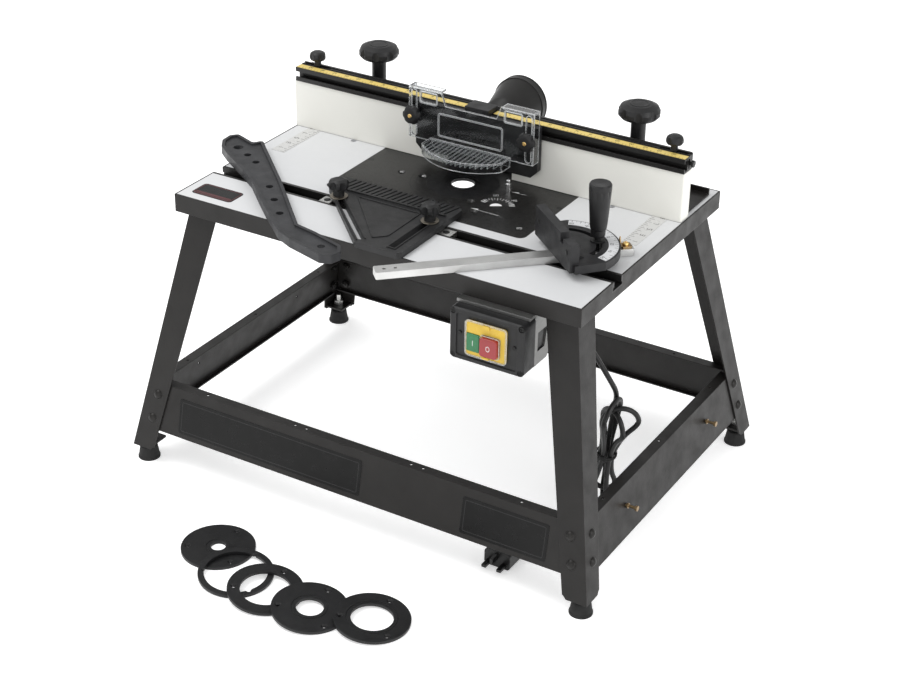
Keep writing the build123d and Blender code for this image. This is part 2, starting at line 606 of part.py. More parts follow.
def clear_guard():
    """A clear shield on two slots, with a curved visor over the cutter."""
    w, low, high, dip = GUARD_HALF, 441.0, 514.0, 495.5
    front, thick, back = 52.0, 3.0, 67.6
    upright = Plane(origin=(0, front + thick, 0), x_dir=(1, 0, 0), z_dir=(0, -1, 0))
    outline = [(-w, low), (w, low), (w, high), (46, high), (39, dip), (-39, dip), (-46, high), (-w, high)]
    body = upright * extrude(make_face(Polyline(*outline, close=True)), thick)
    for s in (-1, 1):
        x = s * (w - 1.25)
        body += block(x - 1.25, x + 1.25, front, back, low, high)
        slot = Plane(origin=(s * GUARD_KNOB_X, front + 10, 477), x_dir=(0, 0, 1), z_dir=(0, -1, 0))
        body -= slot * extrude(SlotOverall(66, 8), 12)
        body -= block(s * 53, s * 77, front - 1, front + 4, 495, 509)
        body += block(s * 47, s * 94, front + 1, back, high - 2.5, high)
    arc = ThreePointArc((-VISOR_HALF, 30), (0, VISOR_Y), (VISOR_HALF, 30))
    line = Polyline((VISOR_HALF, 30), (VISOR_HALF, front + 1), (-VISOR_HALF, front + 1), (-VISOR_HALF, 30))
    shelf = make_face(arc + line)
    visor = Pos(0, 0, VISOR_Z - 12) * extrude(shelf, 13.5)
    inner = offset(shelf, -2.5)
    visor -= Pos(0, 0, VISOR_Z - 13) * extrude(inner, 12)
    visor -= block(-VISOR_HALF + 2.5, VISOR_HALF - 2.5, 40, front + 0.5, VISOR_Z - 13, VISOR_Z - 1)
    return body + visor


# ---- featherboard ----

def slant_unit():
    dx, dy = SLANT_TO[0] - SLANT_FROM[0], SLANT_TO[1] - SLANT_FROM[1]
    return Vector(dx, dy, 0).normalized()


def track_slot(start, end, width):
    """A round-ended slot through the board between two bolt positions."""
    a, b = Vector(*start, 404), Vector(*end, 404)
    turn = degrees(atan2((b - a).Y, (b - a).X))
    mid = (a + b) * 0.5
    return Pos(mid.X, mid.Y, 395) * Rot(0, 0, turn) * extrude(SlotOverall((b - a).length + width, width), 30)


def featherboard():
    z0 = TABLE_H + CLEAR
    back, root, front, right = -47.0, -82.0, -206.0, 52.0
    outline = [(-134, back), (-134, -86), (-14, front), (right - 5, front), (right, front + 5),
               (right, back - 8), (right - 8, back)]
    body = slab(outline[::-1], z0, z0 + FEATHER_T)
    pitch, kerf, count = 8.0, 2.6, 21
    for i in range(count):
        x = -122 + pitch * i
        cut = Pos(x + 4, (back + root) / 2 + 3, z0) * Rot(0, 0, -14) * Box(kerf, back - root, 40)
        body -= cut
    body += block(-126, right - 8, root - 2.2, root + 0.8, z0 + FEATHER_T - 1, z0 + FEATHER_T + 2.5)
    body -= track_slot((STRAIGHT_SLOT_X, TRACK_Y), (STRAIGHT_SLOT_X, -192), 7.6)
    body -= track_slot(SLANT_FROM, SLANT_TO, 7.6)
    return body


def t_bolt(x):
    """A bolt with a square head held under the lips of the mitre track."""
    head = block(x - 13, x + 13, TRACK_Y - 11.8, TRACK_Y + 11.8, TABLE_H - 11.7, TABLE_H - 8.2)
    return head + rod(3.0, TABLE_H - 9, TABLE_H + 30, x, TRACK_Y)


def feather_knob(x):
    seat = TABLE_H + CLEAR + FEATHER_T + 0.3
    return Pos(x, TRACK_Y, seat) * knob_hollow(14, 13, 7.5, 12)


def knob_hollow(r, head, stem_r, stem):
    """A lobed hand knob threaded onto a bolt that comes up through it."""
    body = rod(r, stem, stem + head)
    for x, y in around(2 * (r + 1.9), 6, 30):
        body -= rod(5.5, stem - 1, stem + head + 1, x, y)
    crown = [(0, stem), (r * 0.86, stem), (r, stem + 3), (r, stem + 7), (r * 0.86, stem + 10.5),
             (r * 0.5, stem + head), (0, stem + head)]
    body = (body & turned(crown)) + rod(stem_r, 0, stem + 1) + rod(stem_r + 3, 0, 1.6)
    return body - rod(3.05, -1, stem + head - 2.5)


# ---- mitre gauge ----

def gauge(shape, swivel=0.0):
    """Puts a piece drawn about the pivot, bar along +X, onto the table."""
    return Pos(GAUGE_PIVOT[0], GAUGE_PIVOT[1], 0) * Rot(0, 0, GAUGE_ANGLE + swivel) * shape


BAR_TOP = TABLE_H + CLEAR + BAR_T
HEAD_LOW, HEAD_HIGH, HEAD_PLATE = BAR_TOP + 0.3, BAR_TOP + 11.3, BAR_TOP + 40.5


def gauge_bar():
    z = TABLE_H + CLEAR
    body = block(-BAR_BACK, BAR_FRONT, -BAR_W / 2, BAR_W / 2, z, z + BAR_T)
    body = chamfer(body.edges().filter_by(Axis.Z), 1.5)
    for x in (-BAR_BACK + 12, -BAR_BACK + 26):
        body -= rod(2.2, z - 1, z + 20, x, 0)
    body -= rod(2.5, z + 3, z + 20, HANDLE_AT, 0)
    body -= rod(3.0, z + 3, z + 20)
    body -= rod(1.5, z + 3, z + 20, 78, 0)
    return gauge(body)


def gauge_pivot():
    """The shoulder screw that the head turns on."""
    body = rod(2.95, BAR_TOP - 6, BAR_TOP + 0.02) + rod(4.0, BAR_TOP + 0.02, HEAD_HIGH + 0.3)
    return gauge(body + Pos(0, 0, HEAD_HIGH + 0.3) * dome(4.7, 2.4))


def arc_band(r0, r1, spread, z0, z1):
    """A flat band of a ring about the pivot, symmetric about the bar."""
    a = radians(spread)
    wedge = [(0, 0), (200 * cos(a), -200 * sin(a)), (400, -400 * min(sin(a), 0.99)),
             (400, 400 * min(sin(a), 0.99)),
             (200 * cos(a), 200 * sin(a))]
    return (rod(r1, z0, z1) - rod(r0, z0 - 1, z1 + 1)) & slab(wedge, z0, z1)


def gauge_head():
    body = rod(HEAD_R, HEAD_LOW, HEAD_HIGH) & block(-12, HEAD_R, -HEAD_D, HEAD_D, HEAD_LOW, HEAD_HIGH)
    body += block(-17, -5, -58, 58, HEAD_LOW, HEAD_PLATE)
    for y in (-40, 40):
        rib = Plane(origin=(0, y + 2.5, 0), x_dir=(1, 0, 0), z_dir=(0, -1, 0))
        rib = rib * extrude(make_face(Polyline((-7, HEAD_HIGH - 1), (10, HEAD_HIGH - 1),
                                               (-7, HEAD_HIGH + 9), close=True)), 5)
        body += rib
    body -= block(-20, -4, -34, -25, HEAD_PLATE - 12, HEAD_PLATE + 1)
    body -= block(-20, -4, -60, -30, HEAD_PLATE - 4.5, HEAD_PLATE + 1)
    body -= arc_band(HANDLE_AT - 3.6, HANDLE_AT + 3.6, 62, HEAD_LOW - 1, HEAD_HIGH + 1)
    body -= rod(4.06, HEAD_LOW - 1, HEAD_HIGH + 1)
    return gauge(body, GAUGE_SWIVEL)


def gauge_handle():
    """A tall fluted handle whose stud clamps the head to the bar."""
    z = HEAD_HIGH + 0.3
    body = Pos(HANDLE_AT, 0, z) * turned(
        [(0, 7), (8.8, 7), (9.3, 9), (9.3, 16), (10.4, 17.5), (11.2, 24), (14.2, 68), (14.2, 76),
         (13, 78), (0, 77)])
    for x, y in around(2 * 18.6, 10, 15, (HANDLE_AT, 0)):
        body -= rod(5.2, z + 18, z + 70, x, y)
    return gauge(body + rod(2.45, BAR_TOP - 6, z + 1, HANDLE_AT, 0) + rod(9.5, z, z + 1.6, HANDLE_AT, 0)
                 + rod(4.2, z, z + 8, HANDLE_AT, 0))


# ---- push stick ----

STICK_BACK = [(-334, -15), (-300, -28), (-292, -15), (-273, -34), (-194, -110), (-98, -209),
              (-66, -216), (-18, -231)]
STICK_FRONT = [(-9, -245), (-13, -261), (-27, -266), (-83, -250), (-108, -238), (-157, -196), (-191, -165),
               (-226, -132), (-253, -113), (-308, -77), (-330, -60), (-341, -43), (-342, -24)]


def push_stick():
    z0, thick = TABLE_H + CLEAR, 12.0
    plan = make_face(Polyline(*STICK_BACK, *STICK_FRONT, close=True))
    outline = fillet(plan.vertices(), 4.5)
    body = Pos(0, 0, z0) * extrude(outline, thick)
    pocket = offset(plan, -4.5, kind=Kind.INTERSECTION)
    body -= Pos(0, 0, z0 + thick - 2.5) * extrude(pocket, 5)
    body -= Pos(0, 0, z0 - 2.5) * extrude(pocket, 5)
    for x, y in STICK_HOLES:
        body -= rod(7.0 if x < -300 else 5.0, z0 - 1, z0 + thick + 1, x, y)
    return body


STICK_HOLES = [(-310, -48), (-284, -62), (-260, -76), (-198, -131), (-169, -161), (-139, -191), (-40, -242)]


# ---- spare rings on the floor ----

def ring_poses():
    """Each ring's tilt, so that it lies on the rim of the one before it."""
    poses = []
    slope, gap = 0.0, (0, 0.2, 1.1, 0.7, 1.1)
    for i, ((x, y), hole) in enumerate(RINGS):
        if i == 0:
            poses.append(Location((x, y, 0)))
            continue
        px, py = RINGS[i - 1][0]
        step = hypot(x - px, y - py)
        at_rim = (RING_T + gap[i]) / step
        at_edge = (RING_T + gap[i] + (RING_D - step) * slope) / RING_D
        slope = max(at_rim, at_edge)
        turn = degrees(atan2(y - py, x - px))
        tilt = atan(slope)
        height = RING_D / 2 * sin(tilt)
        poses.append(Location((x, y, height)) * Rot(0, 0, turn) * Rot(0, degrees(tilt), 0) * Rot(0, 0, -turn))
    return poses


# ---- writing ----

def build():
    parts = {
        "table_top": table_top(), "edge_frame": edge_frame(), "mitre_track": mitre_track(),
        "insert_plate": insert_plate(), "insert_screws": insert_screws(), "lead_on_pin": lead_on_pin(),
        "insert_ring": Pos(0, BIT_Y, TABLE_H - RING_T) * insert_ring(FITTED_HOLE),
        "leg_fasteners": leg_fasteners(), "storage_screws": storage_screws(),
        "switch_bracket": switch_bracket(), "switch_box": switch_box(), "switch_cover": switch_cover(),
        "switch_plate": switch_plate(), "switch_mechanism": switch_mechanism(),
        "switch_screws": switch_screws(),
        "start_button": push_button(GREEN, 3.0, 1.5), "stop_button": push_button(RED, 9.0, 3.5),
        "cord_gland": cord_gland(), "cord_runs": cord_runs(), "cord_hank": cord_hank(), "hank_tie": hank_tie(),
        "plug": plug(),
        "fence_bracket": fence_bracket(), "fence_extrusion": fence_extrusion(),
        "dust_port": dust_port(), "guard_bracket": guard_bracket(), "clear_guard": clear_guard(),
        "featherboard": featherboard(),
        "t_bolt_left": t_bolt(SLANT_FROM[0]), "t_bolt_right": t_bolt(STRAIGHT_SLOT_X),
        "feather_knob_left": feather_knob(SLANT_FROM[0]), "feather_knob_right": feather_knob(STRAIGHT_SLOT_X),
        "gauge_bar": gauge_bar(), "gauge_pivot": gauge_pivot(), "gauge_head": gauge_head(),
        "gauge_handle": gauge_handle(), "push_stick": push_stick(),
    }
    for word, side in (("left", -1), ("right", 1)):
        parts["fence_cheek_" + word] = cheek(side)
        parts["fence_clamp_" + word] = fence_clamp(side)
        parts["top_knob_" + word] = top_knob(side)
        parts["guard_knob_" + word] = guard_knob(side)
        for place, sy in (("front", -1), ("rear", 1)):
            parts["leg_%s_%s" % (place, word)] = quarter(leg(), side, sy)
        parts["rail_" + word] = quarter(rail(False), side, 1)
    parts["rail_front"] = quarter(rail(True), 1, -1)
    parts["rail_rear"] = rail(True)
    parts["rubber_feet"] = Compound([quarter(foot(), sx, sy) for sx, sy in corners(1, 1)])
    parts["foot_studs"] = Compound([quarter(foot_stud(), sx, sy) for sx, sy in corners(1, 1)])
    for i, (pose, (_, hole)) in enumerate(zip(ring_poses(), RINGS)):
        parts["spare_ring_%d" % (i + 1)] = pose * insert_ring(hole)
    return parts


os.makedirs("parts", exist_ok=True)
for name, shape in build().items():
    export_step(shape.moved(Location((0, TABLE_Y, 0))), "parts/%s.step" % name)
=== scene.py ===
import math

import bmesh
import bpy
from mathutils import Matrix, Vector


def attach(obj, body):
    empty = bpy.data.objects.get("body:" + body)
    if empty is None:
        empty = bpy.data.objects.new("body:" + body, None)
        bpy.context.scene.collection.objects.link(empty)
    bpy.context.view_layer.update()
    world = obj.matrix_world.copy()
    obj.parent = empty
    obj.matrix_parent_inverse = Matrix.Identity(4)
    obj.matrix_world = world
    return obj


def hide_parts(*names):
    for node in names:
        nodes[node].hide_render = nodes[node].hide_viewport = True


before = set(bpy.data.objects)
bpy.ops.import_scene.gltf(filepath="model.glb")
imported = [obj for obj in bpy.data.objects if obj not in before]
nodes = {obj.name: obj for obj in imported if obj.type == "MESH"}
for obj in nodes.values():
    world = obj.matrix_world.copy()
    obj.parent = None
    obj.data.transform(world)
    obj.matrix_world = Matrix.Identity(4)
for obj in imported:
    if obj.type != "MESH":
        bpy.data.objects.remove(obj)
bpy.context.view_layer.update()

PI = math.pi
TABLE_Y = 106.5                     # the table's middle, behind the frame's origin
TABLE_TOP = 400.0                   # height of the table's surface
LEG_TOP_Y, LEG_TOP_Z = 184.0, 375.0
LEG_FOOT_Y, LEG_FOOT_Z = 254.6, 22.5
RAIL_LOW = 53                       # height of the front rail's lower edge
CLAMP_X, CLAMP_Y = 202.5, 143       # the fence's clamp knobs
TRACK_Y = -105                      # middle of the mitre slot
GUARD_FRONT = 52.0                  # the clear guard's front face
BAR_TOP = 400.3 + 9.5               # top of the mitre gauge's bar
HEAD_TOP = BAR_TOP + 11.3           # top of the mitre gauge's head
GAUGE_X, GAUGE_Y = 221.8, -92.5     # the gauge's pivot
GAUGE_TURN, HEAD_SWIVEL = 44.3, 5.5     # the bar's direction, and the head's turn on it
SWITCH_X, SWITCH_FRONT, SWITCH_Z = 189.5, -227.0, 335.5     # middle of the switch's face

CAMERA_AIM = (30.483, 28.843, 0.972)    # azimuth, elevation and roll in degrees
CAMERA_PLACE = (1183.0, -2001.3, 1461.3)
CAMERA_LENS, CAMERA_SENSOR = 76.81, 36.0


def at(x, y, z):
    """A point given in millimetres from the floor under the table's middle."""
    return Vector((x, y + TABLE_Y, z)) / 1000


# ---------------------------------------------------------------- camera

def make_camera():
    az, el, roll = (math.radians(a) for a in CAMERA_AIM)
    fwd = Vector((-math.sin(az) * math.cos(el), math.cos(az) * math.cos(el), -math.sin(el)))
    right = Vector((math.cos(az), math.sin(az), 0))
    up = right.cross(fwd)
    x = right * math.cos(roll) + up * math.sin(roll)
    y = up * math.cos(roll) - right * math.sin(roll)
    data = bpy.data.cameras.new("camera")
    data.lens, data.sensor_width = CAMERA_LENS, CAMERA_SENSOR
    data.clip_end = 50
    cam = bpy.data.objects.new("camera", data)
    bpy.context.scene.collection.objects.link(cam)
    turn = Matrix((x, y, -fwd)).transposed().to_4x4()
    cam.matrix_world = Matrix.Translation(at(*CAMERA_PLACE)) @ turn
    bpy.context.scene.camera = cam


make_camera()


# ---------------------------------------------------------------- materials

MIX_A, MIX_B, MIX_RESULT = 6, 7, 2      # the colour sockets of a mix node


class Shader:
    """A node tree built up from a principled shader."""

    def __init__(self, name, color, rough=0.5, metal=0.0, **extra):
        self.mat = bpy.data.materials.new(name)
        self.mat.use_nodes = True
        self.nodes, self.links = self.mat.node_tree.nodes, self.mat.node_tree.links
        self.bsdf = self.nodes["Principled BSDF"]
        self.set("Base Color", (*color, 1))
        self.set("Roughness", rough)
        self.set("Metallic", metal)
        for key, value in extra.items():
            self.set(key.replace("_", " "), value)
        self.place = self.add("ShaderNodeTexCoord").outputs["Object"]
        self.normal = None

    def set(self, socket, value):
        self.bsdf.inputs[socket].default_value = value

    def add(self, kind, **values):
        node = self.nodes.new(kind)
        for key, value in values.items():
            setattr(node, key, value)
        return node

    def wire(self, a, b):
        self.links.new(a, b)

    def noise(self, scale, detail=3.0, stretch=(1, 1, 1), rough=0.55):
        mapping = self.add("ShaderNodeMapping")
        mapping.inputs["Scale"].default_value = stretch
        self.wire(self.place, mapping.inputs["Vector"])
        tex = self.add("ShaderNodeTexNoise")
        tex.inputs["Scale"].default_value = scale
        tex.inputs["Detail"].default_value = detail
        tex.inputs["Roughness"].default_value = rough
        self.wire(mapping.outputs["Vector"], tex.inputs["Vector"])
        return tex.outputs["Fac"]

    def curve(self, value, low, high, out_low, out_high):
        node = self.add("ShaderNodeMapRange")
        ends = {"From Min": low, "From Max": high, "To Min": out_low, "To Max": out_high}
        for name, v in ends.items():
            node.inputs[name].default_value = v
        self.wire(value, node.inputs["Value"])
        return node.outputs["Result"]

    def blend(self, factor, a, b):
        """A colour between a and b, each a colour or a socket."""
        node = self.add("ShaderNodeMix", data_type="RGBA")
        for socket, v in ((node.inputs[MIX_A], a), (node.inputs[MIX_B], b)):
            if isinstance(v, tuple):
                socket.default_value = (*v, 1)
            else:
                self.wire(v, socket)
        self.wire(factor, node.inputs[0])
        return node.outputs[MIX_RESULT]

    def math(self, op, a, b):
        node = self.add("ShaderNodeMath", operation=op)
        for i, v in enumerate((a, b)):
            if isinstance(v, (int, float)):
                node.inputs[i].default_value = v
            else:
                self.wire(v, node.inputs[i])
        return node.outputs[0]

    def paint(self, socket):
        self.wire(socket, self.bsdf.inputs["Base Color"])

    def polish(self, socket):
        self.wire(socket, self.bsdf.inputs["Roughness"])

    def bump(self, height, strength, distance):
        node = self.add("ShaderNodeBump")
        node.inputs["Strength"].default_value = strength
        node.inputs["Distance"].default_value = distance
        self.wire(height, node.inputs["Height"])
        if self.normal is not None:
            self.wire(self.normal, node.inputs["Normal"])
        self.normal = node.outputs["Normal"]
        self.wire(self.normal, self.bsdf.inputs["Normal"])

    def soft_edges(self, radius):
        """Edges that catch the light, as a real edge does."""
        node = self.add("ShaderNodeBevel", samples=4)
        node.inputs["Radius"].default_value = radius
        self.normal = node.outputs["Normal"]
        self.wire(self.normal, self.bsdf.inputs["Normal"])

    def edge_mask(self, radius, low=0.0, high=0.25):
        """1 near an edge, 0 on a flat face."""
        bevel = self.add("ShaderNodeBevel", samples=4)
        bevel.inputs["Radius"].default_value = radius
        dot = self.add("ShaderNodeVectorMath", operation="DOT_PRODUCT")
        self.wire(bevel.outputs["Normal"], dot.inputs[0])
        self.wire(self.add("ShaderNodeNewGeometry").outputs["Normal"], dot.inputs[1])
        return self.curve(self.math("SUBTRACT", 1.0, dot.outputs["Value"]), low, high, 0.0, 1.0)


def tint(color, k):
    return tuple(min(1.0, c * k) for c in color)


def plastic(name, color, rough=0.45, grain=0.35, grain_scale=1400, vary=0.25, worn=0.35, **extra):
    """Moulded plastic: a fine spark-eroded grain, faint flow marks, slightly paler rubbed edges."""
    edge = 0.0008
    extra.setdefault("Specular_IOR_Level", 0.34)
    s = Shader(name, color, rough, **extra)
    s.soft_edges(edge)
    flow = s.noise(35, 4)
    base = s.blend(s.curve(flow, 0.3, 0.7, 0, 1), tint(color, 1 - vary), tint(color, 1 + vary))
    near_edge = s.edge_mask(edge * 1.5, 0.02, 0.3)
    rub = s.math("MULTIPLY", near_edge, s.curve(s.noise(90, 2), 0.35, 0.7, 0, worn))
    s.paint(s.blend(rub, base, tuple(c * 1.6 + 0.02 for c in color)))
    s.polish(s.curve(s.noise(60, 3), 0.3, 0.7, rough - 0.08, rough + 0.1))
    s.bump(s.noise(grain_scale, 2), grain, 0.0002)
    return s.mat


def powder_coat(name, color, rough=0.42):
    """Powder-coated steel: orange peel, a satin sheen, dust-pale scuffs on edges."""
    s = Shader(name, color, rough, Specular_IOR_Level=0.30)
    s.soft_edges(0.0009)
    patch = s.noise(14, 4)
    base = s.blend(s.curve(patch, 0.3, 0.7, 0, 1), tint(color, 0.82), tint(color, 1.22))
    near_edge = s.edge_mask(0.0012, 0.03, 0.35)
    rub = s.math("MULTIPLY", near_edge, s.curve(s.noise(70, 3), 0.42, 0.72, 0, 0.5))
    s.paint(s.blend(rub, base, (0.075, 0.072, 0.07)))
    s.polish(s.curve(s.noise(40, 3), 0.3, 0.7, rough - 0.07, rough + 0.1))
    s.bump(s.noise(420, 2), 0.25, 0.0004)
    s.bump(s.noise(2600, 1), 0.2, 0.0001)
    return s.mat


def brushed(name, color, rough=0.3, along=(1, 40, 40), metal=1.0):
    """Metal with drawing or machining lines."""
    s = Shader(name, color, rough, metal)
    s.soft_edges(0.0005)
    lines = s.noise(60, 4, along, 0.7)
    cloud = s.noise(25, 3)
    s.paint(s.blend(s.curve(cloud, 0.3, 0.7, 0, 1), tint(color, 0.85), tint(color, 1.08)))
    s.polish(s.curve(lines, 0.3, 0.7, rough - 0.1, rough + 0.14))
    s.bump(lines, 0.12, 0.0002)
    return s.mat


def laminate(name, color, rough=0.38):
    """White melamine over fibreboard: a faint stipple and very slight mottling."""
    s = Shader(name, color, rough)
    s.soft_edges(0.0006)
    mottled = s.blend(s.curve(s.noise(7, 4), 0.3, 0.7, 0, 1), tint(color, 0.97), tint(color, 1.02))
    dust = s.curve(s.noise(260, 4, rough=0.8), 0.66, 0.8, 0, 0.12)
    s.paint(s.blend(dust, mottled, (0.45, 0.44, 0.42)))
    s.polish(s.curve(s.noise(90, 3), 0.3, 0.7, rough - 0.06, rough + 0.08))
    s.bump(s.noise(1500, 2), 0.12, 0.0002)
    return s.mat


def clear_plastic(name, color=(0.93, 0.95, 0.96)):
    """Clear polycarbonate with moulding ripples and fine wiping scratches."""
    s = Shader(name, color, 0.04, IOR=1.49)
    s.soft_edges(0.0009)
    # Towards the edges the transmission drops and the pale base colour shows: a painted highlight for
    # the bright edges of the clear plastic.
    edge = s.edge_mask(0.0016, 0.01, 0.12)
    s.wire(s.curve(edge, 0, 1, 1.0, 0.25), s.bsdf.inputs["Transmission Weight"])
    scratch = s.noise(220, 5, (1, 1, 9), 0.75)
    s.polish(s.curve(scratch, 0.45, 0.75, 0.02, 0.14))
    s.bump(s.noise(60, 2), 0.10, 0.0006)
    return s.mat


MATS = {
    "coat": powder_coat("powder_coat", (0.0095, 0.0085, 0.0078)),
    "laminate": laminate("white_laminate", (0.615, 0.622, 0.63)),
    "cheek": laminate("cheek_laminate", (0.735, 0.73, 0.685), 0.42),
    "track": brushed("black_anodised_track", (0.012, 0.0115, 0.011), 0.36, (1, 50, 50), 0.2),
    "plate": brushed("dark_anodised_plate", (0.012, 0.0115, 0.011), 0.30, (1.5, 60, 60), 0.15),
    "ring": plastic("ring_phenolic", (0.0085, 0.0085, 0.009), 0.42, 0.5, 2200, 0.3),
    "steel": brushed("turned_steel", (0.62, 0.62, 0.62), 0.22, (40, 40, 1)),
    "zinc": brushed("bright_zinc", (0.70, 0.70, 0.68), 0.30, (12, 12, 12)),
    # The bracket's zinc sheet is far darker than bright zinc: painted shade for the shade it sits in
    # under the table.
    "sheet_zinc_painted_shade": brushed("zinc_sheet_painted_shade", (0.26, 0.26, 0.255), 0.42, (30, 1, 30)),
    "oxide": plastic("black_oxide", (0.02, 0.02, 0.02), 0.35, 0.2, 1800, 0.3, Metallic=0.6),
    "bolt": plastic("bolt_black", (0.016, 0.015, 0.014), 0.36, 0.15, 1500, 0.3, Metallic=0.4),
    "rubber": plastic("rubber", (0.012, 0.012, 0.012), 0.75, 0.5, 900, 0.35),
    "brass": brushed("brass", (0.80, 0.56, 0.22), 0.24, (30, 30, 30)),
    "switch": plastic("switch_housing", (0.009, 0.009, 0.0095), 0.40, 0.45, 1500),
    "yellow": plastic("switch_yellow", (0.62, 0.42, 0.05), 0.30, 0.12, 1600, 0.06, worn=0.0),
    "green": plastic("button_green", (0.012, 0.15, 0.05), 0.25, 0.10, 1600, 0.10, worn=0.0,
                     Coat_Weight=0.4),
    "red": plastic("button_red", (0.26, 0.010, 0.012), 0.20, 0.08, 1600, 0.08, worn=0.0,
                   Coat_Weight=0.6),
    "mechanism": plastic("contactor", (0.25, 0.25, 0.25)),
    "pvc": plastic("cord_pvc", (0.007, 0.007, 0.007), 0.34, 0.2, 1500, 0.2),
    "fence": brushed("black_anodised_fence", (0.010, 0.0095, 0.009), 0.34, (1, 60, 60), 0.2),
    "port": plastic("port_plastic", (0.009, 0.0085, 0.008), 0.36, 0.3, 1500),
    "knob": plastic("knob_nylon", (0.009, 0.009, 0.0095), 0.42, 0.5, 1700),
    "board": plastic("board_plastic", (0.013, 0.013, 0.0135), 0.42, 0.4, 1700),
    "head": plastic("head_plastic", (0.014, 0.014, 0.015), 0.45, 0.45, 1500),
    "stick": plastic("stick_plastic", (0.026, 0.0265, 0.029), 0.48, 0.5, 1500),
    "bar": brushed("satin_aluminium", (0.60, 0.60, 0.59), 0.36, (25, 25, 25)),
    "clear": clear_plastic("clear_polycarbonate"),
    "white_ink": laminate("white_print", (0.85, 0.85, 0.85)),
    "black_ink": plastic("black_print", (0.02, 0.02, 0.02), 0.6, 0.1),
    "tape": laminate("yellow_tape", (0.68, 0.52, 0.15), 0.45),
    "rule": laminate("clear_rule", (0.56, 0.56, 0.55), 0.3),
    "label": plastic("label_black", (0.004, 0.004, 0.004), 0.3, 0.02, 1500, 0.1, worn=0.0,
                     Specular_IOR_Level=0.2),
    "label_red": plastic("label_red", (0.075, 0.012, 0.014), 0.3, 0.1, 1500, 0.1, worn=0.0),
    "scale": laminate("silver_scale", (0.62, 0.63, 0.64), 0.35),
    "washer": brushed("dull_washer", (0.20, 0.18, 0.15), 0.4, (14, 14, 14)),
    "bronze": brushed("aged_brass", (0.34, 0.24, 0.13), 0.34, (14, 14, 14)),
    "tie": plastic("tie_plastic", (0.02, 0.02, 0.02), 0.5),
}

CAD_MATS = {
    "coat": ["edge_frame", "leg_front_left", "leg_front_right", "leg_rear_left", "leg_rear_right",
             "rail_front", "rail_rear", "rail_left", "rail_right", "fence_bracket"],
    "laminate": ["table_top"],
    "cheek": ["fence_cheek_left", "fence_cheek_right"],
    "track": ["mitre_track"],
    "plate": ["insert_plate"],
    "ring": ["insert_ring"] + ["spare_ring_%d" % i for i in range(1, 6)],
    "steel": ["lead_on_pin", "gauge_pivot"],
    "oxide": ["insert_screws", "switch_screws"],
    "bolt": ["leg_fasteners"],
    "rubber": ["rubber_feet"],
    "zinc": ["foot_studs", "t_bolt_left", "t_bolt_right"],
    "bronze": ["storage_screws"],
    # The switch bracket takes the zinc sheet that is darkened with painted shade.
    "sheet_zinc_painted_shade": ["switch_bracket"],
    "switch": ["switch_box", "switch_cover", "cord_gland"],
    "yellow": ["switch_plate"],
    "green": ["start_button"],
    "red": ["stop_button"],
    "mechanism": ["switch_mechanism"],
    "pvc": ["plug"],
    "fence": ["fence_extrusion"],
    "port": ["dust_port"],
    "board": ["guard_bracket", "featherboard"],
    "knob": ["fence_clamp_left", "fence_clamp_right", "top_knob_left", "top_knob_right",
             "guard_knob_left", "guard_knob_right", "feather_knob_left", "feather_knob_right",
             "gauge_handle"],
    "clear": ["clear_guard"],
    "bar": ["gauge_bar"],
    "head": ["gauge_head"],
    "stick": ["push_stick"],
    "tie": ["hank_tie"],
}


def turned_edges(bm, angle):
    """The edges whose two faces turn by more than the angle, in radians."""
    return [e for e in bm.edges if len(e.link_faces) == 2 and e.calc_face_angle(0) > angle]


def smooth_by_angle(mesh):
    """Smooth shading, with the edges between faces that turn sharply kept crisp."""
    work = bmesh.new()
    work.from_mesh(mesh)
    sharp = [e.index for e in turned_edges(work, math.radians(35))]
    work.free()
    mesh.polygons.foreach_set("use_smooth", [True] * len(mesh.polygons))
    for i in sharp:
        mesh.edges[i].use_edge_sharp = True


for key, names in CAD_MATS.items():
    for n in names:
        mesh = nodes[n].data
        mesh.materials.clear()
        mesh.materials.append(MATS[key])


# ---------------------------------------------------------------- mesh helpers

def finish_piece(name, bm, mat, body, smooth=False):
    bmesh.ops.recalc_face_normals(bm, faces=bm.faces)
    mesh = bpy.data.meshes.new(name)
    bm.to_mesh(mesh)
    bm.free()
    for m in mat if isinstance(mat, (list, tuple)) else [mat]:
        mesh.materials.append(MATS[m])
    if smooth:
        smooth_by_angle(mesh)
    obj = bpy.data.objects.new(name, mesh)
    bpy.context.scene.collection.objects.link(obj)
    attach(obj, body)
    return obj


def bevel_all(bm, width):
    edges = turned_edges(bm, 0.6)
    bmesh.ops.bevel(bm, geom=edges, offset=width / 1000, segments=2, affect="EDGES", profile=0.6)


def add_prism(bm, outline, low, high, place, material=0):
    """A closed prism: outline points (u, v) and heights w, put in place by place(u, v, w)."""
    rings = [[bm.verts.new(place(u, v, w)) for u, v in outline] for w in (low, high)]
    n = len(outline)
    faces = [bm.faces.new(rings[0][::-1]), bm.faces.new(rings[1])]
    for i in range(n):
        j = (i + 1) % n
        faces.append(bm.faces.new((rings[0][i], rings[0][j], rings[1][j], rings[1][i])))
    for f in faces:
        f.material_index = material


def flat(u, v, w):
    """Lying flat, seen from above."""
    return at(u, v, w)


def above(x, y, z):
    """Lying flat, measured from the point x, y, z."""
    base = at(x, y, z)
    return lambda u, v, w: base + Vector((u, v, w)) / 1000


def stand_up(x, y, z):
    """u to the right, v up, w to the front."""
    return lambda u, v, w: at(x + u, y - w, z + v)


def stroke(start, end, width):
    """The outline of a straight line with square ends."""
    (x0, y0), (x1, y1) = start, end
    d = Vector((x1 - x0, y1 - y0)).normalized() * width / 2
    return [(x0 + d.y, y0 - d.x), (x1 + d.y, y1 - d.x), (x1 - d.y, y1 + d.x), (x0 - d.y, y0 + d.x)]


def rect(u0, u1, v0, v1):
    return [(u0, v0), (u1, v0), (u1, v1), (u0, v1)]


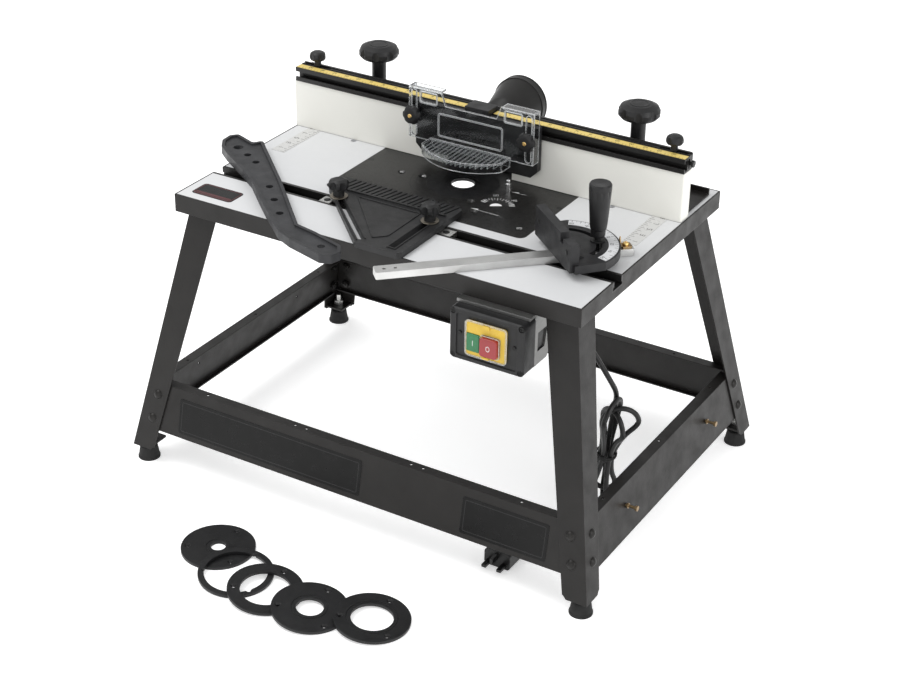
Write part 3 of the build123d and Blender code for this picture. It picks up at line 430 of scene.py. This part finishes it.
def rounded(u0, u1, v0, v1, r):
    steps, pts = 5, []
    corners = ((u1 - r, v0 + r, -90), (u1 - r, v1 - r, 0), (u0 + r, v1 - r, 90), (u0 + r, v0 + r, 180))
    for cx, cy, a in corners:
        for k in range(steps + 1):
            t = math.radians(a + 90 * k / steps)
            pts.append((cx + r * math.cos(t), cy + r * math.sin(t)))
    return pts


def arc_outline(cx, cy, r0, r1, a0, a1, steps):
    turn = [math.radians(a0 + (a1 - a0) * k / steps) for k in range(steps + 1)]
    outer = [(cx + r1 * math.cos(t), cy + r1 * math.sin(t)) for t in turn]
    inner = [(cx + r0 * math.cos(t), cy + r0 * math.sin(t)) for t in reversed(turn)]
    return outer + inner


def spun(profile, steps, place):
    """A closed turned piece about the w axis: (radius, w) points that start and end on the axis."""
    bm = bmesh.new()
    rings = []
    for r, w in profile:
        if r == 0:
            rings.append([bm.verts.new(place(0, 0, w))])
            continue
        ring = []
        for k in range(steps):
            t = 2 * PI * k / steps
            ring.append(bm.verts.new(place(r * math.cos(t), r * math.sin(t), w)))
        rings.append(ring)
    for a, b in zip(rings, rings[1:]):
        for k in range(steps):
            j = (k + 1) % steps
            if len(a) == 1:
                bm.faces.new((a[0], b[k], b[j]))
            elif len(b) == 1:
                bm.faces.new((a[k], a[j], b[0]))
            else:
                bm.faces.new((a[k], a[j], b[j], b[k]))
    return bm


def frame_ring(bm, outer, inner, low, high, place, material=0):
    """A closed ring between two outlines that have the same number of points."""
    n = len(outer)
    loops = [[bm.verts.new(place(u, v, w)) for u, v in line]
             for line in (outer, inner) for w in (low, high)]
    ol, oh, il, ih = loops
    for i in range(n):
        j = (i + 1) % n
        for a, b in ((ol, oh), (oh, ih), (ih, il), (il, ol)):
            bm.faces.new((a[i], a[j], b[j], b[i])).material_index = material


SEGMENTS = {"0": "abcdef", "1": "bc", "2": "abged", "3": "abgcd", "4": "fgbc", "5": "afgcd",
            "6": "afgedc", "7": "abc", "8": "abcdefg", "9": "abcdfg"}


def add_number(bm, text, centre, height, place, w, material=0, turn=0.0):
    """Plain figures for a rule, drawn as strokes; centre in (u, v)."""
    wide, half = height * 0.55, height * 0.13 / 2
    pitch = wide * 1.5
    c, s = math.cos(turn), math.sin(turn)
    bars = {"a": (0, height, wide, 0), "g": (0, height / 2, wide, 0), "d": (0, 0, wide, 0),
            "f": (0, height / 2, 0, height / 2), "e": (0, 0, 0, height / 2),
            "b": (wide, height / 2, 0, height / 2), "c": (wide, 0, 0, height / 2)}
    start = -pitch * len(text) / 2 + (pitch - wide) / 2
    for i, ch in enumerate(text):
        for seg in SEGMENTS[ch]:
            x, y, dx, dy = bars[seg]
            x, y = x + start + i * pitch, y - height / 2
            box = rect(x - half, x + dx + half, y - half, y + dy + half)
            box = [(centre[0] + u * c - v * s, centre[1] + u * s + v * c) for u, v in box]
            add_prism(bm, box, w, w + 0.04, place, material)


# ---------------------------------------------------------------- rules, tape, labels, printed marks

def fence_tape():
    z, near, far = 489.03, 79.2, 91.0
    sides = (("scale_tape_left", -299.3, -19.5, -1), ("scale_tape_right", 19.5, 299.3, 1))
    for name, x0, x1, step in sides:
        bm = bmesh.new()
        add_prism(bm, rect(x0, x1, near, far), z, z + 0.3, flat)
        for k in range(4, 60):
            x = step * k * 5
            if x0 + 1 < x < x1 - 1:
                long = 4.2 if k % 2 == 0 else 2.6
                add_prism(bm, rect(x - 0.22, x + 0.22, near, near + long), z + 0.3, z + 0.34, flat, 1)
            if k % 4 == 0 and x0 + 5 < x < x1 - 5:
                add_number(bm, str(k // 2), (x, 87.2), 3.8, flat, z + 0.3, 1)
        finish_piece(name, bm, ["tape", "black_ink"], "fence")


def table_rules():
    z = TABLE_TOP + 0.02
    for name, x0, x1, near in (("rule_left", -281.5, -260.0, 1), ("rule_right", 259.5, 281.0, -1)):
        bm = bmesh.new()
        add_prism(bm, rect(x0, x1, -11, 150), z, z + 0.25, flat)
        edge = x1 if near > 0 else x0
        for k in range(32):
            y = -9 + 5 * k
            long = 8.0 if k % 2 == 0 else 4.5
            ends = sorted((edge - near * 0.8, edge - near * long))
            add_prism(bm, rect(*ends, y - 0.3, y + 0.3), z + 0.25, z + 0.3, flat, 1)
            if k % 4 == 2:
                centre = ((x0 + x1) / 2 - near * 4, y)
                add_number(bm, str(k // 2), centre, 6.0, flat, z + 0.25, 1, PI / 2 * near)
        finish_piece(name, bm, ["rule", "black_ink"], "stand")


def corner_label():
    """A blank label with a dark red border and band."""
    bm = bmesh.new()
    z = TABLE_TOP + 0.02
    add_prism(bm, rounded(-288, -224, -184, -151, 5), z, TABLE_TOP + 0.3, flat)
    outer, inner = rounded(-286.4, -225.6, -182.4, -152.6, 4), rounded(-285, -227, -180, -154, 3)
    frame_ring(bm, outer, inner, 0.25, 0.34, lambda u, v, w: at(u, v, z + w), 1)
    add_prism(bm, rounded(-284, -228, -179, -174.5, 2), TABLE_TOP + 0.28, TABLE_TOP + 0.34, flat, 1)
    finish_piece("corner_label", bm, ["label", "label_red"], "stand")


RAIL_SLOPE = (LEG_FOOT_Y - LEG_TOP_Y) / (LEG_TOP_Z - LEG_FOOT_Z)
RAIL_LEAN = math.atan(RAIL_SLOPE)


def on_front_rail(u, v, w):
    """u along the rail, v up its sloping face from the lower edge, w out of it."""
    c, s = math.cos(RAIL_LEAN), math.sin(RAIL_LEAN)
    y = -(LEG_FOOT_Y - RAIL_SLOPE * (RAIL_LOW - LEG_FOOT_Z)) + 2.15 + v * s
    return at(u, y - w * c, RAIL_LOW + v * c - w * s)


def rail_decals():
    """Two blank panels with a fine border on the front rail."""
    for name, x0, x1 in (("rail_panel_left", -284, 14), ("rail_panel_right", 167, 292)):
        bm = bmesh.new()
        add_prism(bm, rounded(x0, x1, 7, 58, 3), 0.03, 0.35, on_front_rail)
        outer, inner = rounded(x0 + 4, x1 - 4, 11, 54, 2.2), rounded(x0 + 5, x1 - 5, 12, 53, 1.4)
        frame_ring(bm, outer, inner, 0.3, 0.42, on_front_rail, 1)
        finish_piece(name, bm, ["label", "switch"], "stand")


def plate_marks():
    """Fine printed marks on the insert plate: a dial, feed arrows, figures and setting-out arcs."""
    bm = bmesh.new()
    z = TABLE_TOP + 0.03
    top = z + 0.05

    def line(x0, y0, x1, y1, width=0.55):
        add_prism(bm, stroke((x0, y0), (x1, y1), width), z, top, flat)

    def arrow(x0, y0, x1, y1):
        d = Vector((x1 - x0, y1 - y0)).normalized()
        n = Vector((-d.y, d.x))
        line(x0, y0, x1, y1)
        tip, root = Vector((x0, y0)), Vector((x0, y0)) + d * 8
        tri = [tip - d * 3, root + n * 3.2, root]
        add_prism(bm, [tuple(p) for p in tri], z, top, flat)

    arrow(51, -26.9, 91, -27.7)
    arrow(71, 46.2, 91, 47.1)
    line(-20, -40.4, 36.5, -35.6, 0.8)
    line(36.5, -35.6, 38.6, -41.5, 0.8)
    cx, cy, lean, pitch = 73.5, -4.0, 33, 9.8       # the dial: middle, start and step in degrees
    turn = [math.radians(lean + k * 12) for k in range(16)]
    add_prism(bm, [(cx + 8 * math.cos(a), cy + 8 * math.sin(a)) for a in turn], z, top, flat)
    for k in range(15):
        t = math.radians(lean + 2 + k * pitch)
        r0, r1 = (18.0, 25.0) if k % 2 == 0 else (20.5, 25.0)
        c, s = math.cos(t), math.sin(t)
        line(cx + r0 * c, cy + r0 * s, cx + r1 * c, cy + r1 * s, 0.75)
        if k in (0, 1, 13, 14):
            block = arc_outline(cx, cy, 17.5, 25.0, lean + k * pitch - 2, lean + k * pitch + 2, 3)
            add_prism(bm, block, z, top, flat)
    figures = ((57, 25.4, "60"), (85.6, 23.8, "45"), (132, -46, "25"), (-57, 26, "10"), (-90, 22, "15"))
    for x, y, n in figures:
        add_number(bm, n, (x, y), 4.6, flat, z, 0, math.radians(lean))
    finish_piece("plate_marks", bm, "white_ink", "stand")
    bm = bmesh.new()
    for r in (55, 63, 71):
        add_prism(bm, arc_outline(0, 36, r, r + 0.5, 186, 352, 60), z, top, flat)
    finish_piece("plate_arcs", bm, "black_ink", "stand")


# ---------------------------------------------------------------- mitre gauge

def on_gauge(swivel):
    """u along the bar from the pivot, turned by the swivel; v across it; w the height."""
    turn = math.radians(GAUGE_TURN + swivel)
    c, s = math.cos(turn), math.sin(turn)
    return lambda u, v, w: at(GAUGE_X + u * c - v * s, GAUGE_Y + u * s + v * c, w)


def gauge_scale():
    """The silver arc on the head, with a tick at every 5 degrees."""
    place = on_gauge(HEAD_SWIVEL)
    z = HEAD_TOP + 0.03
    bm = bmesh.new()
    add_prism(bm, arc_outline(0, 0, 54.0, 66.6, -64, 64, 60), z, z + 0.7, place)
    for k in range(-12, 13):
        t = math.radians(k * 5)
        c, s = math.cos(t), math.sin(t)
        r0, r1, h = (61.6, 66.2, 0.3) if k % 2 == 0 else (63.6, 66.2, 0.2)
        box = [(r0 * c + h * s, r0 * s - h * c), (r1 * c + h * s, r1 * s - h * c),
               (r1 * c - h * s, r1 * s + h * c), (r0 * c - h * s, r0 * s + h * c)]
        add_prism(bm, box, z + 0.7, z + 0.75, place, 1)
        if k % 4 == 0:
            centre = (58.0 * c, 58.0 * s)
            add_number(bm, str(abs(k * 5)), centre, 3.6, place, z + 0.7, 1, t - PI / 2)
    finish_piece("gauge_scale", bm, ["scale", "black_ink"], "gauge_head")


def gauge_pointer():
    """A bent pointer on the bar's end, with its brass screw."""
    place = on_gauge(0)
    low = BAR_TOP + 0.05
    bm = bmesh.new()
    foot = [(70.4, -3), (74, -6.5), (85, -6.5), (86, -5), (86, 5), (85, 6.5), (74, 6.5), (70.4, 3)]
    add_prism(bm, foot, low, low + 2.2, place)
    blade = [(-4, low + 2), (4, low + 2), (2.5, low + 9), (0, low + 14.5), (-2.5, low + 9)]
    add_prism(bm, blade, 70.4, 71.9, lambda u, v, w: place(w, u, v))
    bevel_all(bm, 0.3)
    finish_piece("gauge_pointer", bm, "bronze", "gauge")
    profile = [(0, -1), (4.2, -1), (4.2, 1.8), (3.2, 3.2), (1.3, 3.5), (1.1, 2.6), (0, 2.6)]
    bm = spun(profile, 24, lambda u, v, w: place(u + 79, v, w + low + 2.2))
    finish_piece("gauge_pointer_screw", bm, "brass", "gauge", True)


def gauge_head_screws():
    """The black cap screw that stands behind the face plate, and the two screws in the plate."""
    place = on_gauge(HEAD_SWIVEL)
    profile = [(0, 0.03), (6.2, 0.03), (6.2, 1.2), (5.0, 1.5), (5.0, 8.6), (4.4, 9.2), (2.8, 9.2),
               (2.6, 6.5), (0, 6.5)]
    bm = spun(profile, 30, lambda u, v, w: place(u + 6, v + 49, w + HEAD_TOP))
    finish_piece("gauge_stop_screw", bm, "oxide", "gauge_head", True)
    for word, s in (("right", -1), ("left", 1)):
        seat = lambda a, b, w, s=s: place(w - 17.0, s * 46 + a, HEAD_TOP + 12 + b)
        bm = spun([(0, 0.3), (3.8, 0.3), (3.8, -0.5), (3.1, -0.9), (0, -0.9)], 24, seat)
        finish_piece("face_screw_" + word, bm, "oxide", "gauge_head", True)


# ---------------------------------------------------------------- guard, knobs and small hardware

def visor_front(x):
    """Front edge of the visor at x: a circle through its two corners and its nose."""
    half, rise = 62.0, 30.0
    r = (half * half + rise * rise) / (2 * rise)
    return r - math.sqrt(r * r - x * x)


def guard_details():
    """Raised frames on the clear guard, and the ribs that hang from its visor."""
    bm = bmesh.new()
    outer, inner = rounded(-50, 50, -17, 17, 4), rounded(-47.8, 47.8, -14.8, 14.8, 2.6)
    frame_ring(bm, outer, inner, -0.1, 0.9, stand_up(0, GUARD_FRONT, 468))
    outer, inner = rounded(-14, 14, -9, 9, 3), rounded(-12.1, 12.1, -7.1, 7.1, 1.5)
    for s in (-1, 1):
        frame_ring(bm, outer, inner, -0.1, 1.0, stand_up(s * 65, GUARD_FRONT, 502))
    finish_piece("guard_relief", bm, "clear", "guard")
    bm = bmesh.new()
    for k in range(-9, 10):
        x = k * 6.6
        reach = visor_front(x)
        if abs(x) < 59 and reach < 48:
            add_prism(bm, rect(x - 0.7, x + 0.7, reach + 3.0, 51.5), 438.2, 443.2, flat)
    finish_piece("visor_ribs", bm, "clear", "guard")


def guard_knob_inserts():
    """The brass inserts in the guard's two star knobs."""
    profile = [(0, -1.5), (2.9, -1.5), (2.9, 0.4), (2.4, 0.7), (1.3, 0.7), (1.1, 0.1), (0, 0.1)]
    for word, s in (("left", -1), ("right", 1)):
        bm = spun(profile, 28, stand_up(s * 88.0, 41.0, 475))
        finish_piece("guard_knob_insert_" + word, bm, "brass", "guard_knob_" + word, True)


def clamp_hardware():
    """The dished cap in each of the fence's clamp knobs, and the washer under its stem."""
    cap = [(0, -2.2), (13.5, -2.2), (13.5, -0.3), (12.6, 0.15), (11.2, 0.1), (9.5, -0.5), (0, -0.9)]
    washer = [(0, 0.1), (14.5, 0.1), (14.5, 1.5), (13.5, 2.0), (0, 2.0)]
    for word, s in (("left", -1), ("right", 1)):
        bm = spun(cap, 40, above(s * CLAMP_X, CLAMP_Y, 523.3))
        finish_piece("clamp_cap_" + word, bm, "knob", "fence_clamp_" + word, True)
        bm = spun(washer, 40, above(s * CLAMP_X, CLAMP_Y, 403.4))
        finish_piece("clamp_washer_" + word, bm, "zinc", "fence_clamp_" + word, True)


def feather_hardware():
    """The washers under the featherboard's knobs, and the nuts that slide in the track beside it."""
    profile = [(0, 0), (11.5, 0), (12, 0.4), (12, 1.3), (11.4, 1.7), (0, 1.7)]
    for word, x in (("left", -105.6), ("right", 34.0)):
        bm = spun(profile, 36, above(x, TRACK_Y, 408.65))
        finish_piece("feather_washer_" + word, bm, "washer", "feather_knob_" + word, True)
    nuts = (("track_nut_left", -132, -116, "feather_follower"),
            ("track_nut_right", 48.5, 69, "feather_anchor"))
    profile = [(0, 399.1), (4.4, 399.1), (4.4, 399.6), (3.2, 399.8), (0, 399.8)]
    for name, x0, x1, body in nuts:
        bm = bmesh.new()
        add_prism(bm, rect(x0, x1, -114.4, -95.6), 392.3, 399.2, flat)
        bevel_all(bm, 0.5)
        finish_piece(name, bm, "zinc", body)
        cx = (x0 + x1) / 2
        bm = spun(profile, 24, lambda u, v, w, c=cx: at(c + u, TRACK_Y + v, w))
        finish_piece(name + "_screw", bm, "oxide", body, True)


def board_relief():
    """The raised outline on the featherboard's deck, and the rims of its two slots."""
    z = 408.28
    bm = bmesh.new()
    corners = [(-84, -92), (12, -92), (12, -170), (-2, -184)]
    for start, end in zip(corners, corners[1:] + corners[:1]):
        add_prism(bm, stroke(start, end, 1.8), z, z + 1.0, flat)
    finish_piece("board_relief", bm, "board", "featherboard")
    bm = bmesh.new()
    for s in (-1, 1):
        x = 34 + s * 5.6
        add_prism(bm, rect(x - 0.8, x + 0.8, -196, -100), z, z + 1.2, flat)
    add_prism(bm, rect(27.6, 40.4, -197.6, -196), z, z + 1.2, flat)
    d = Vector((91.6, -88.5)).normalized()
    n = Vector((-d.y, d.x))
    for s in (-1, 1):
        a = Vector((-105.6, -105)) + n * s * 5.6 - d * 4
        b = Vector((-14, -193.5)) + n * s * 5.6 + d * 4
        w = n * 0.8
        add_prism(bm, [tuple(a - w), tuple(b - w), tuple(b + w), tuple(a + w)], z, z + 1.2, flat)
    finish_piece("board_slot_rims", bm, "board", "featherboard")


def port_bead():
    """The moulded step where the port's cone meets its spigot, and the rim's rounded lip."""
    steps, r, axis_z = 72, 38.0, 463
    turn = [2 * PI * k / steps for k in range(steps)]
    for name, y in (("port_step", 184.0), ("port_lip", 195.2)):
        bm = bmesh.new()
        loops = []
        for a, b in ((r - 0.6, y - 0.9), (r + 0.7, y - 0.5), (r + 0.7, y + 0.5), (r - 0.6, y + 0.9)):
            loops.append([bm.verts.new(at(a * math.cos(t), b, axis_z + a * math.sin(t))) for t in turn])
        for one, two in zip(loops, loops[1:] + loops[:1]):
            for k in range(steps):
                j = (k + 1) % steps
                bm.faces.new((one[k], one[j], two[j], two[k]))
        finish_piece(name, bm, "port", "fence", True)


def rod_end():
    """The button on the right end of the fence."""
    profile = [(0, -1.5), (2.6, -1.5), (2.6, 1.8), (4.6, 2.0), (4.9, 3.4), (4.6, 5.2), (0, 5.6)]
    bm = spun(profile, 24, lambda u, v, w: at(300.2 + w, 96 + u, 478 + v))
    finish_piece("fence_rod_end", bm, "knob", "fence", True)


def switch_details():
    """The clear frames on the switch, the marks on its buttons and the plate's two bosses."""
    place = stand_up(SWITCH_X, SWITCH_FRONT, SWITCH_Z)
    stop = stand_up(SWITCH_X + 7, SWITCH_FRONT, SWITCH_Z - 4)
    start = stand_up(SWITCH_X - 17.5, SWITCH_FRONT, SWITCH_Z - 5.5)
    bm = bmesh.new()
    outer, inner = rounded(-29.2, 29.2, -24.6, 24.6, 5), rounded(-27.0, 27.0, -22.4, 22.4, 3.2)
    frame_ring(bm, outer, inner, 0.9, 2.2, place)
    finish_piece("switch_bezel", bm, "clear", "stand")
    bm = bmesh.new()
    outer, inner = rounded(-13.6, 13.6, -14.0, 14.0, 3), rounded(-12.6, 12.6, -13.0, 13.0, 2.2)
    frame_ring(bm, outer, inner, 1.0, 4.6, stop)
    finish_piece("stop_surround", bm, "clear", "stand")
    bm = bmesh.new()
    ring = [(2.7 * math.cos(2 * PI * k / 24), 3.7 * math.sin(2 * PI * k / 24)) for k in range(24)]
    hole = [(u * 0.76, v * 0.8) for u, v in ring]
    frame_ring(bm, ring, hole, 8.95, 9.1, stop)
    finish_piece("stop_mark", bm, "white_ink", "stop_button")
    bm = bmesh.new()
    add_prism(bm, rect(-0.35, 0.35, -3.6, 3.6), 2.95, 3.1, start)
    finish_piece("start_mark", bm, "white_ink", "start_button")
    bm = bmesh.new()
    for low, high in ((17.0, 23.0), (-23.4, -20.4)):
        add_prism(bm, rounded(-4.5, 5.5, low, high, 1.2), 0.9, 3.2, place)
    bevel_all(bm, 0.4)
    finish_piece("switch_bosses", bm, "yellow", "stand")


# ---------------------------------------------------------------- cord

CORD = 7.0          # diameter
HANK_FOOT, HANK_TOP = Vector((250, -20, 8)), Vector((289, -52, 196))
HANK_AXIS = (HANK_TOP - HANK_FOOT).normalized()
HANK_RADIUS = 25.0
LEAD = [(215, -146, 328), (217, -104, 322), (240, -62, 282), (277, -52, 222)]
TAIL = [(240, -36, 40), (232, -56, 11), (229, -88, 3.7), (219, -122, 3.7), (208, -146, 8),
        (206, -166, 12)]


def hank_point(angle, r, b, shift=0.0):
    """A point of the hank: angle and distance round its axis, b along it, shift sideways."""
    along = HANK_AXIS
    across = Vector((math.cos(PI / 6), math.sin(PI / 6), 0))
    across = (across - along * across.dot(along)).normalized()
    depth = across.cross(along)
    t = math.radians(angle)
    p = (HANK_TOP + HANK_FOOT) / 2 + along * b
    return p + across * (r * math.cos(t) + shift) + depth * r * math.sin(t)


def hank_turn(a0, a1, level, shift):
    """The loop from the side a0 of the hank over its end at b = level to the side a1."""
    sign = 1 if level > 0 else -1
    p0, p1 = hank_point(a0, HANK_RADIUS, 0, shift), hank_point(a1, HANK_RADIUS, 0, shift)
    middle, half = (p0 + p1) / 2, (p1 - p0) / 2
    pts = [hank_point(a0, 13, sign * 34, shift * 0.4)]
    for k in range(7):
        t = PI * (1 - k / 6)
        rise = level - sign * half.length * (1 - 1.06 * math.sin(t))
        pts.append(middle + half * math.cos(t) + HANK_AXIS * rise)
    return pts + [hank_point(a1, 13, sign * 34, shift * 0.4)]


def cord_points():
    """From the gland through the turns of the hank, which all cross its waist, to the plug."""
    waist = lambda angle: [hank_point(angle, 7.4, 0)]
    pts = [Vector(p) for p in LEAD]
    pts += [hank_point(270, 15, 96), hank_point(270, 17, 70), hank_point(270, 10, 34)]
    pts += [hank_point(90, 3, 0)]
    pts += hank_turn(270, 120, -93.5, -4) + waist(120) + hank_turn(120, 300, 93.5, -4) + waist(300)
    pts += hank_turn(300, 60, -84, -4) + waist(60) + hank_turn(60, 240, 75, 0) + waist(240)
    pts += hank_turn(240, 0, -75, -4) + waist(0) + hank_turn(0, 180, 84, 9) + waist(180)
    pts += [hank_point(180, 15, -34)]
    return pts + [Vector(p) for p in TAIL]


def tube(name, pts, radius, mat, around, along):
    """One open round tube along a smooth curve; around and along set how finely it is divided."""
    curve = bpy.data.curves.new(name, "CURVE")
    curve.dimensions = "3D"
    curve.bevel_depth = radius / 1000
    curve.bevel_resolution = around
    curve.resolution_u = along
    curve.use_fill_caps = True
    spline = curve.splines.new("NURBS")
    spline.points.add(len(pts) - 1)
    for point, p in zip(spline.points, pts):
        point.co = (*at(*p), 1)
    spline.order_u = 3
    spline.use_endpoint_u = True
    obj = bpy.data.objects.new(name, curve)
    bpy.context.scene.collection.objects.link(obj)
    curve.materials.append(MATS[mat])
    return obj


def make_cord():
    obj = tube("mains_cord", cord_points(), CORD / 2, "pvc", 6, 10)
    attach(obj, "stand")
    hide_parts("cord_runs", "cord_hank")
    return obj


def make_tie():
    """A wire tie: two turns round the waist and a twisted tail."""
    pts = [hank_point(100 + 18 * k, 13.6, -2.5 + 5 * k / 42) for k in range(43)]
    for k in range(1, 9):
        pts.append(hank_point(120 + 4 * k, 14 + 1.0 * k, 3 - 1.5 * k + 1.4 * math.sin(k * 1.8)))
    obj = tube("cord_tie", pts, 1.1, "tie", 3, 12)
    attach(obj, "stand")
    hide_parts("hank_tie")
    return obj


cord = make_cord()
tie = make_tie()

fence_tape()
table_rules()
corner_label()
rail_decals()
plate_marks()
gauge_scale()
gauge_pointer()
gauge_head_screws()
guard_details()
guard_knob_inserts()
clamp_hardware()
feather_hardware()
board_relief()
rod_end()
port_bead()
switch_details()


# ---------------------------------------------------------------- stage

FLOOR_HALF = 60     # metres


def make_stage():
    """A pale floor that reaches past every view, an even sky and three softboxes."""
    bm = bmesh.new()
    for x, y in ((-1, -1), (1, -1), (1, 1), (-1, 1)):
        bm.verts.new((x * FLOOR_HALF, y * FLOOR_HALF, 0))
    bm.faces.new(bm.verts)
    mesh = bpy.data.meshes.new("floor")
    bm.to_mesh(mesh)
    bm.free()
    floor = bpy.data.objects.new("floor", mesh)
    bpy.context.scene.collection.objects.link(floor)
    s = Shader("floor_white", (0.93, 0.93, 0.93), 0.85)
    s.set("Emission Color", (1, 1, 1, 1))
    s.set("Emission Strength", 0.42)
    mesh.materials.append(s.mat)

    world = bpy.data.worlds.new("world")
    bpy.context.scene.world = world
    world.use_nodes = True
    sky = world.node_tree.nodes["Background"].inputs
    sky["Color"].default_value = (1, 1, 1, 1)
    sky["Strength"].default_value = 0.75

    def softbox(name, place, target, size, power):
        data = bpy.data.lights.new(name, "AREA")
        data.shape, data.size, data.size_y, data.energy = "RECTANGLE", size[0], size[1], power
        lamp = bpy.data.objects.new(name, data)
        bpy.context.scene.collection.objects.link(lamp)
        lamp.location = place
        aim = Vector(target) - Vector(place)
        lamp.rotation_euler = aim.to_track_quat("-Z", "Y").to_euler()

    softbox("key", (-1.2, -0.6, 2.6), (0, 0.1, 0.3), (1.6, 1.6), 38)
    softbox("side", (2.6, -0.4, 1.3), (0, 0.1, 0.3), (1.4, 1.8), 26)
    softbox("front", (0.3, -2.8, 1.0), (0, 0, 0.25), (2.2, 1.2), 12)


make_stage()
scene = bpy.context.scene
scene.view_settings.view_transform = "Standard"
scene.view_settings.look = "None"
